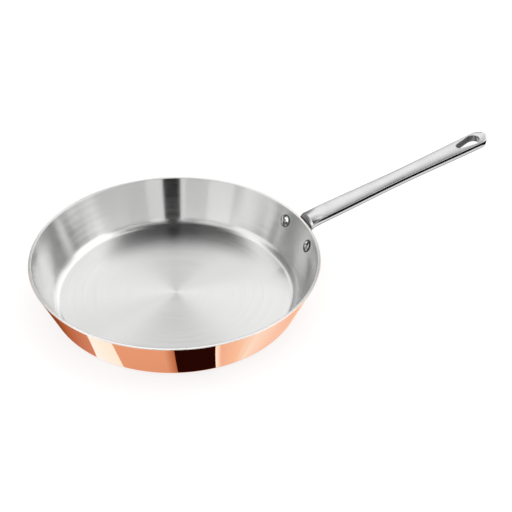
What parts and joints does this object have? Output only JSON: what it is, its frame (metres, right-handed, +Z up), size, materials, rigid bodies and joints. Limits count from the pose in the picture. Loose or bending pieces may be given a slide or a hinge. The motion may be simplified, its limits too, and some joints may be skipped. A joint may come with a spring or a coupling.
{
  "type": "frying pan",
  "caption": "Shallow round frying pan with flared walls, copper outside, brushed steel inside, and a long riveted steel handle that ends in a hanging eye.",
  "frame": {"origin": "centre of the pan's flat underside, on the axis of the bowl", "axes": "+Z up along the bowl's axis, +X along the handle, towards its hanging eye"},
  "size_m": [0.4592, 0.265, 0.0939],
  "materials": {
    "copper": "mirror-polished copper",
    "core": "bare, seen only as a bright line along the rim",
    "liner": "brushed in circles round the pan's axis",
    "handle": "satin-polished cast stainless steel",
    "rivet": "polished stainless steel"
  },
  "bodies": {
    "root": {"copper_shell": "copper", "aluminium_core": "core", "steel_liner": "liner", "handle": "handle", "rivet_left": "rivet", "rivet_right": "rivet"}
  },
  "joints": []
}
